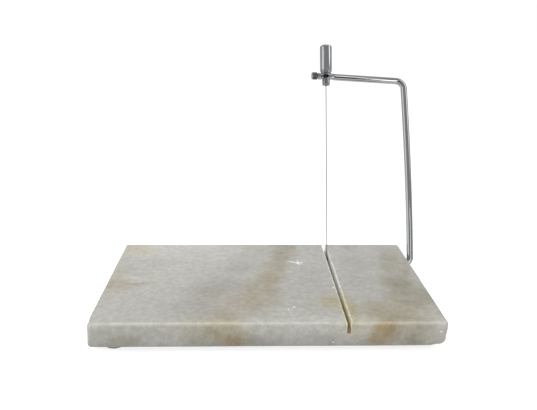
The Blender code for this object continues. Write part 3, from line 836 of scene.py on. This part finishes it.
def build_slab(stuff):
    """The marble slab: rubbed edges with a painted highlight on a fine grid, a chipped groove and the
    pivot's bore.
    """
    lines = [grid_lines(SLAB_LOW[i], BOARD_HIGH[i]) for i in range(3)]
    bm = bmesh.new()
    wear_and_highlight = bm.verts.layers.float.new("edge_wear_and_highlight")
    made = {}

    def corner(key):
        """The vertex of three grid lines, made when it is first asked for."""
        if key not in made:
            place, wear_and_highlight_share = on_rounded_slab(Vector([lines[i][key[i]] for i in range(3)]))
            made[key] = bm.verts.new(place)
            made[key][wear_and_highlight] = wear_and_highlight_share
        return made[key]

    for axis in range(3):
        first, second = (i for i in range(3) if i != axis)
        for side in (0, len(lines[axis]) - 1):
            for a in range(len(lines[first]) - 1):
                for b in range(len(lines[second]) - 1):
                    keys = []
                    for step_a, step_b in ((0, 0), (1, 0), (1, 1), (0, 1)):
                        key = [side, side, side]
                        key[first], key[second] = a + step_a, b + step_b
                        keys.append(tuple(key))
                    bm.faces.new([corner(key) for key in keys])
    slab = add_piece("marble_slab", bm, "board", stuff)
    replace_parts(slab, "marble_board")
    along_x = Matrix.Translation(PIVOT) @ Matrix.Rotation(math.pi / 2, 4, "Y")
    bore = cylinder(BORE_RADIUS, -BORE_REACH_LEFT, BOARD_HIGH.x - BOARD_LOW.x, along_x, BORE_STEPS)
    cut(slab, slab_groove(), bore)


def build_feet(stuff):
    """Four soft domes with a flat to stand on."""
    for name in ("foot_front_left", "foot_front_right", "foot_back_left", "foot_back_right"):
        low, high = (Vector(corner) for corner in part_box(name))
        height = high.z - low.z + UNDERSIDE_LIFT
        shoulder = height / 2
        outline = [(0, 0), (FOOT_REST_RADIUS, 0)]
        for i in range(1, FOOT_ARC_STEPS + 1):
            angle = math.pi / 2 * i / FOOT_ARC_STEPS
            outline.append((FOOT_REST_RADIUS + (FOOT_RADIUS - FOOT_REST_RADIUS) * math.sin(angle),
                            shoulder * (1 - math.cos(angle))))
        outline += [(FOOT_RADIUS, height), (0, height)]
        centre = Vector(((low.x + high.x) / 2, (low.y + high.y) / 2, low.z))
        piece = add_piece(f"{name}_dome", turned(outline), "board", stuff, Matrix.Translation(centre))
        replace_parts(piece, name)


def bar_stations():
    """Stations of the bar from its buried tip to its free end."""
    stations = []
    x, z, heading = SEAT_GAP - TIP_REACH, 0.0, 0.0

    def add():
        """A round station where the bar has got to."""
        stations.append((x, z, heading, BAR_RADIUS, BAR_RADIUS, BAR_RADIUS))

    def bend(radius, turn, steps):
        """Stations along an arc, which leave the bar at its end."""
        nonlocal x, z, heading
        centre_x = x - radius * math.sin(heading)
        centre_z = z + radius * math.cos(heading)
        first = heading
        for i in range(1, steps + 1):
            heading = first + turn * i / steps
            x = centre_x + radius * math.sin(heading)
            z = centre_z - radius * math.cos(heading)
            add()

    leaning = math.pi / 2 + UPRIGHT_BOW
    last = math.pi - TOP_ARM_RISE
    bend_x = UPPER_BEND_RADIUS * (math.sin(last) - math.sin(leaning))
    bend_z = UPPER_BEND_RADIUS * (math.cos(leaning) - math.cos(last))
    slope = math.tan(TOP_ARM_RISE)
    rise_rate = math.sin(UPRIGHT_BOW) / UPRIGHT_BOW
    drift_rate = (1 - math.cos(UPRIGHT_BOW)) / UPRIGHT_BOW
    other_rises = LOWER_BEND_RADIUS + bend_z + slope * (UPRIGHT_FROM_WIRE + bend_x)
    upright = (EYE_HEIGHT - other_rises) / (rise_rate - slope * drift_rate)
    add()
    x = UPRIGHT_FROM_WIRE - LOWER_BEND_RADIUS
    add()
    bend(LOWER_BEND_RADIUS, math.pi / 2, BEND_STEPS)
    bend(upright / UPRIGHT_BOW, UPRIGHT_BOW, UPRIGHT_STEPS)
    bend(UPPER_BEND_RADIUS, last - leaning, BEND_STEPS)

    def head(along, width, flat):
        """A station of the bar's end, measured from the wire: round where flat is 0, level where 1."""
        height = BAR_RADIUS + flat * (EYE_HALF_THICKNESS - BAR_RADIUS)
        corner = BAR_RADIUS + flat * (EYE_EDGE_RADIUS - BAR_RADIUS)
        return (along * math.cos(last), EYE_HEIGHT + along * math.sin(last) * (1 - flat),
                math.pi - TOP_ARM_RISE * (1 - flat), max(width, BAR_RADIUS), height, corner)

    waist = math.asin(BAR_RADIUS / EYE_RADIUS)
    waist_along = EYE_RADIUS * math.cos(waist)
    for i in range(NECK_STEPS + 1):
        share = i / NECK_STEPS
        stations.append(head(-waist_along - NECK_LENGTH * (1 - share), BAR_RADIUS, eased(share, 0, 1)))
    for i in range(1, EYE_STEPS + 1):
        angle = waist + (math.pi - 2 * waist) * i / EYE_STEPS
        stations.append(head(-EYE_RADIUS * math.cos(angle), EYE_RADIUS * math.sin(angle), 1))
    stations.append(head(FLAT_END, BAR_RADIUS, 1))
    stations.append(head(FLAT_END + TIP_BLEND, BAR_RADIUS, 0))
    for i in range(TIP_STEPS + 1):
        angle = math.pi / 2 * i / TIP_STEPS
        inset = TIP_EDGE * (1 - math.cos(angle))
        at = head(TIP_END - TIP_EDGE * (1 - math.sin(angle)), BAR_RADIUS, 0)
        stations.append((*at[:3], *(size - inset for size in at[3:])))
    return stations


def along_tip():
    """From the bar tip's own frame, with Z out of the tip, to the arm's."""
    return Matrix.Translation((0, 0, EYE_HEIGHT)) @ Matrix.Rotation(TOP_ARM_RISE - math.pi / 2, 4, "Y")


def build_bar(stuff):
    """The chromed bar with its eye, notch and holes."""
    bar = add_piece("chromed_bar", swept(bar_stations()), "arm", stuff)
    half = NOTCH_HALF_WIDTH
    notch = box((-half, -2 * EYE_RADIUS, EYE_HEIGHT - 2 * BAR_RADIUS),
                (half, 2 * EYE_RADIUS, EYE_HEIGHT + NOTCH_ROOF))
    eye_hole = cylinder(SHANK_HOLE_RADIUS, EYE_HEIGHT - 2 * BAR_RADIUS, EYE_HEIGHT + 2 * BAR_RADIUS)
    screw_hole = cylinder(SCREW_HOLE_RADIUS, SCREW_DOG_START - SEAT_GAP, 2 * TIP_END, along_tip())
    wire_hole = cylinder(WIRE_HOLE_RADIUS, -2 * BAR_RADIUS, 2 * BAR_RADIUS)
    crimp_seat = cylinder(CRIMP_SEAT_RADIUS, -2 * BAR_RADIUS, 0)
    cut(bar, notch, eye_hole, screw_hole, wire_hole, crimp_seat)
    bar.data.transform(LEAN)
    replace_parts(bar, "arm_bar")


def build_tensioner(bright, plain):
    """Stud, washer and knob, all turned about the wire."""
    at_eye = LEAN @ Matrix.Translation((0, 0, EYE_HEIGHT))
    corner = (STUD_RADIUS - STUD_ROUNDING, STUD_BOTTOM + STUD_ROUNDING)
    stud = turned([
        (WIRE_HOLE_RADIUS, STUD_BOTTOM),
        *arc(corner, STUD_ROUNDING, -math.pi / 2, 0),
        (STUD_RADIUS, STUD_SHOULDER),
        (SHANK_RADIUS, STUD_SHOULDER),
        (SHANK_RADIUS, SHANK_TOP),
        (WIRE_HOLE_RADIUS, SHANK_TOP),
    ], closed=True)
    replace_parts(add_piece("hollow_stud", stud, "stud", plain, at_eye), "tension_stud")

    washer = turned([
        (SHANK_HOLE_RADIUS, WASHER_BOTTOM),
        (WASHER_RADIUS, WASHER_BOTTOM),
        (WASHER_RADIUS, WASHER_BOTTOM + WASHER_THICKNESS),
        (SHANK_HOLE_RADIUS, WASHER_BOTTOM + WASHER_THICKNESS),
    ], closed=True)
    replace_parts(add_piece("thin_washer", washer, "arm", bright, at_eye), "knob_washer")

    line = KNOB_COLLAR_RADIUS - KNOB_LINE_DEPTH
    line_top = KNOB_COLLAR_LENGTH + KNOB_LINE_WIDTH
    corner = (KNOB_RADIUS - KNOB_CROWN_RADIUS, KNOB_LENGTH - KNOB_CROWN_RADIUS)
    knob = turned([
        (0, KNOB_BORE_DEPTH),
        (SHANK_HOLE_RADIUS, KNOB_BORE_DEPTH),
        (SHANK_HOLE_RADIUS, 0),
        (KNOB_COLLAR_RADIUS - KNOB_COLLAR_CHAMFER, 0),
        (KNOB_COLLAR_RADIUS, KNOB_COLLAR_CHAMFER),
        (KNOB_COLLAR_RADIUS, KNOB_COLLAR_LENGTH),
        (line, KNOB_COLLAR_LENGTH),
        (line, line_top),
        (KNOB_RADIUS, line_top),
        *arc(corner, KNOB_CROWN_RADIUS, 0, math.pi / 2),
        (0, KNOB_LENGTH),
    ])
    matrix = at_eye @ Matrix.Translation((0, 0, KNOB_BOTTOM))
    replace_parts(add_piece("plain_knob", knob, "knob", bright, matrix), "tension_knob")


def build_lock_screw(knurled, plain):
    """The knurled head with its chamfered face, and the shank behind it."""
    start = TIP_END + SEAT_GAP
    end = start + SCREW_HEAD_LENGTH
    bm = bmesh.new()
    rings = []
    lift, step = SCREW_HEAD_CHAMFER, SCREW_HEAD_STEP
    # Height, how far in from the head's radius, and the share of the knurl's depth
    profile = (
        (start, lift / 2, 0),
        (start + lift / 2, 0, 1),
        (start + lift / 2 + step, 0, 1),
        (end - lift - step, 0, 1),
        (end - lift, 0, 1),
        (end - lift / 2, lift * SCREW_CHAMFER_MIDDLE, KNURL_LEFT_ON_CHAMFER),
        (end - step, lift * SCREW_CHAMFER_LAST, 0),
        (end, lift, 0),
        (end, SCREW_HEAD_RADIUS - SCREW_DIMPLE_RADIUS, 0),
        (end - SCREW_DIMPLE_DEPTH, SCREW_HEAD_RADIUS - SCREW_DIMPLE_FLOOR_RADIUS, 0),
    )
    steps = STEPS_PER_KNURL * KNURL_COUNT
    for height, shrink, depth in profile:
        ring = []
        for i in range(steps):
            angle = 2 * math.pi * i / steps
            groove = 0.5 - 0.5 * math.cos(KNURL_COUNT * angle)
            reach = SCREW_HEAD_RADIUS - shrink - KNURL_DEPTH * depth * groove
            ring.append(bm.verts.new((reach * math.cos(angle), reach * math.sin(angle), height)))
        rings.append(ring)
    skin(bm, rings)
    head = add_piece("knurled_screw", bm, "screw", knurled, LEAN @ along_tip())
    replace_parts(head, "lock_screw")
    shank = turned([
        (0, SCREW_DOG_END), (SCREW_DOG_RADIUS, SCREW_DOG_END), (SCREW_DOG_RADIUS, SCREW_DOG_START),
        (SCREW_RADIUS, SCREW_DOG_START), (SCREW_RADIUS, start), (0, start),
    ], steps=SHANK_STEPS)
    add_piece("screw_shank", shank, "screw", plain, LEAN @ along_tip())


def dress_nodes(**stuffs):
    """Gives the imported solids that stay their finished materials."""
    for name, stuff in stuffs.items():
        mesh = frame["nodes"][name].data
        mesh.materials.clear()
        mesh.materials.append(stuff)


# Surroundings

WHITE = (1, 1, 1, 1)


def build_camera():
    """The photo's own view."""
    yaw, pitch, roll = CAMERA_YAW, CAMERA_PITCH, CAMERA_ROLL
    ahead = Vector((math.sin(yaw) * math.cos(pitch), math.cos(yaw) * math.cos(pitch), -math.sin(pitch)))
    level = Vector((math.cos(yaw), -math.sin(yaw), 0))
    upright = level.cross(ahead)
    side = level * math.cos(roll) + upright * math.sin(roll)
    top = upright * math.cos(roll) - level * math.sin(roll)
    data = bpy.data.cameras.new("view")
    data.sensor_width = SENSOR_WIDTH
    data.lens = FOCAL_PIXELS * SENSOR_WIDTH / IMAGE_WIDTH
    data.clip_start, data.clip_end = CLIP_NEAR, CLIP_FAR
    camera = placed("view", data)
    turn = Matrix((side, top, -ahead)).transposed()
    camera.matrix_world = Matrix.Translation(TOP_FRONT_LEFT + CAMERA_FROM_CORNER) @ turn.to_4x4()
    bpy.context.scene.camera = camera


# What metal sees of the studio: azimuth from the camera's side and elevation of the middle of each
# panel in degrees, their half sizes, how softly it ends and its level
PANELS = (
    (-70, 11, 20, 17, 4, 0.95),
    (73, 38.5, 10, 21.5, 3, 1.7),
    (13, 52.5, 6, 4.5, 2, 3.0),
    (13.8, 8, 3.8, 14, 1.2, 3.0),
)

# The dark gap by the camera, given in the same way without a level
DARK_BY_CAMERA = (1.5, 4, 7.8, 17, 1.2)

# The room behind the panels, from the camera's side round to the back, and the white backdrop, by
# the parts of a ray's direction between which each edge of it runs out
ROOM_LEVELS = (0.30, 0.42)
ROOM_TURN = (-0.6, 0.3)
BACKDROP_SIDES = (0.42, 0.30)
BACKDROP_BACK = (0.45, 0.6)
BACKDROP_TOP = (0.62, 0.34)

# What matt surfaces see all round
WORLD_LEVEL = 0.62


def build_world():
    """White backdrop, an even light on matt surfaces, and a studio with dark gaps for metal."""
    world = bpy.data.worlds.new("studio")
    bpy.context.scene.world = world
    n = Nodes(world, "ShaderNodeOutputWorld", "Generated")
    x, y, z = n.axes()
    azimuth = n.math("DEGREES", n.math("ARCTAN2", x, n.math("MULTIPLY", y, -1.0)))
    elevation = n.math("DEGREES", n.math("ARCSINE", z))

    def panel(side, height, half_width, half_height, softness):
        """1 inside a panel, falling to 0 past its edges."""
        off_side = n.math("ABSOLUTE", n.math("SUBTRACT", azimuth, side))
        off_height = n.math("ABSOLUTE", n.math("SUBTRACT", elevation, height))
        return n.chain("MULTIPLY", n.ramp(off_side, half_width + softness, half_width),
                       n.ramp(off_height, half_height + softness, half_height))

    room = n.ramp(y, *ROOM_TURN, *ROOM_LEVELS)
    panels = [n.math("MULTIPLY", panel(*shape), level) for *shape, level in PANELS]
    lit = n.chain("MAXIMUM", room, *panels)
    backdrop = n.chain("MULTIPLY", n.ramp(n.math("ABSOLUTE", x), *BACKDROP_SIDES),
                       n.ramp(y, *BACKDROP_BACK), n.ramp(z, *BACKDROP_TOP))
    mirrored = n.math("MAXIMUM", n.unless(panel(*DARK_BY_CAMERA), lit), backdrop)

    glossy, direct = n.ray("Glossy"), n.direct()
    seen = n.math("ADD", n.math("MULTIPLY", glossy, mirrored), n.unless(glossy, WORLD_LEVEL))
    strength = n.math("ADD", direct, n.unless(direct, seen))
    n.surface(n.node("ShaderNodeBackground", {"Color": WHITE, "Strength": strength}))


FLOOR_HALF_SIZE = 6
FLOOR_COLOUR = (0.6, 0.6, 0.6)
FLOOR_COLOUR_PAST_END = (0.03, 0.03, 0.03)

# The floor's own light for the camera, near the board and beyond it, and for metal
FLOOR_GLOW = 0.79
FLOOR_GLOW_BEHIND = 0.68
FLOOR_BEHIND_FROM, FLOOR_BEHIND_TO = 0.03, 0.07
FLOOR_GLOW_IN_METAL = 0.2

# Where the floor ends in front, as metal sees it
FLOOR_END_IN_METAL = -0.45
FLOOR_END_RUN = 0.2


def build_floor():
    """A pale floor that keeps the object's shadow."""
    bm = bmesh.new()
    bmesh.ops.create_grid(bm, x_segments=1, y_segments=1, size=FLOOR_HALF_SIZE)
    stuff = bpy.data.materials.new("pale_floor")
    n = Nodes(stuff)
    y, glossy = n.axes()["Y"], n.ray("Glossy")
    past_end = n.ramp(y, FLOOR_END_IN_METAL, FLOOR_END_IN_METAL - FLOOR_END_RUN)
    ended = n.math("MULTIPLY", glossy, past_end)
    glow = n.ramp(y, BOARD_HIGH.y + FLOOR_BEHIND_FROM, BOARD_HIGH.y + FLOOR_BEHIND_TO,
                  FLOOR_GLOW, FLOOR_GLOW_BEHIND)
    mirrored = n.unless(ended, n.math("MULTIPLY", glossy, FLOOR_GLOW_IN_METAL))
    seen = n.math("ADD", n.math("MULTIPLY", n.direct(), glow), mirrored)
    colour = n.mix(ended, FLOOR_COLOUR, FLOOR_COLOUR_PAST_END)
    matt = n.node("ShaderNodeBsdfDiffuse", {"Color": colour})
    lamp = n.node("ShaderNodeEmission", {"Color": WHITE, "Strength": seen})
    n.surface(n.node("ShaderNodeAddShader", {0: matt.outputs[0], 1: lamp.outputs[0]}))
    floor = add_piece("floor", bm, None, stuff)


# Area lights: place, what each is turned to, width and height, power
LIGHTS = {
    "key": ((-0.35, -0.35, 0.9), (0, -0.02, 0.02), (0.8, 0.8), 5.0),
    "fill": ((0.0, -1.1, 0.12), (0, -0.08, 0.01), (1.2, 0.4), 2.6),
}


def build_lights():
    """Soft lights that metal doesn't mirror."""
    for name, (location, target, size, power) in LIGHTS.items():
        data = bpy.data.lights.new(name, "AREA")
        data.shape = "RECTANGLE"
        data.size, data.size_y = size
        data.energy = power
        lamp = placed(name, data)
        lamp.location = location
        lamp.rotation_euler = (Vector(target) - Vector(location)).to_track_quat("-Z", "Y").to_euler()
        lamp.visible_glossy = False


def main():
    """Builds every piece, then the view and its light."""
    bright, plain = chrome(), steel()
    build_slab(marble())
    build_feet(rubber())
    build_bar(bright)
    build_tensioner(bright, plain)
    build_lock_screw(knurled_steel(), plain)
    sleeve = nylon()
    dress_nodes(pivot_bush=sleeve, tip_bush=sleeve, cutting_wire=wire_steel(), lower_crimp=plain,
                upper_crimp=plain)
    build_camera()
    build_world()
    build_floor()
    build_lights()
    bpy.context.scene.view_settings.view_transform = "Standard"


main()
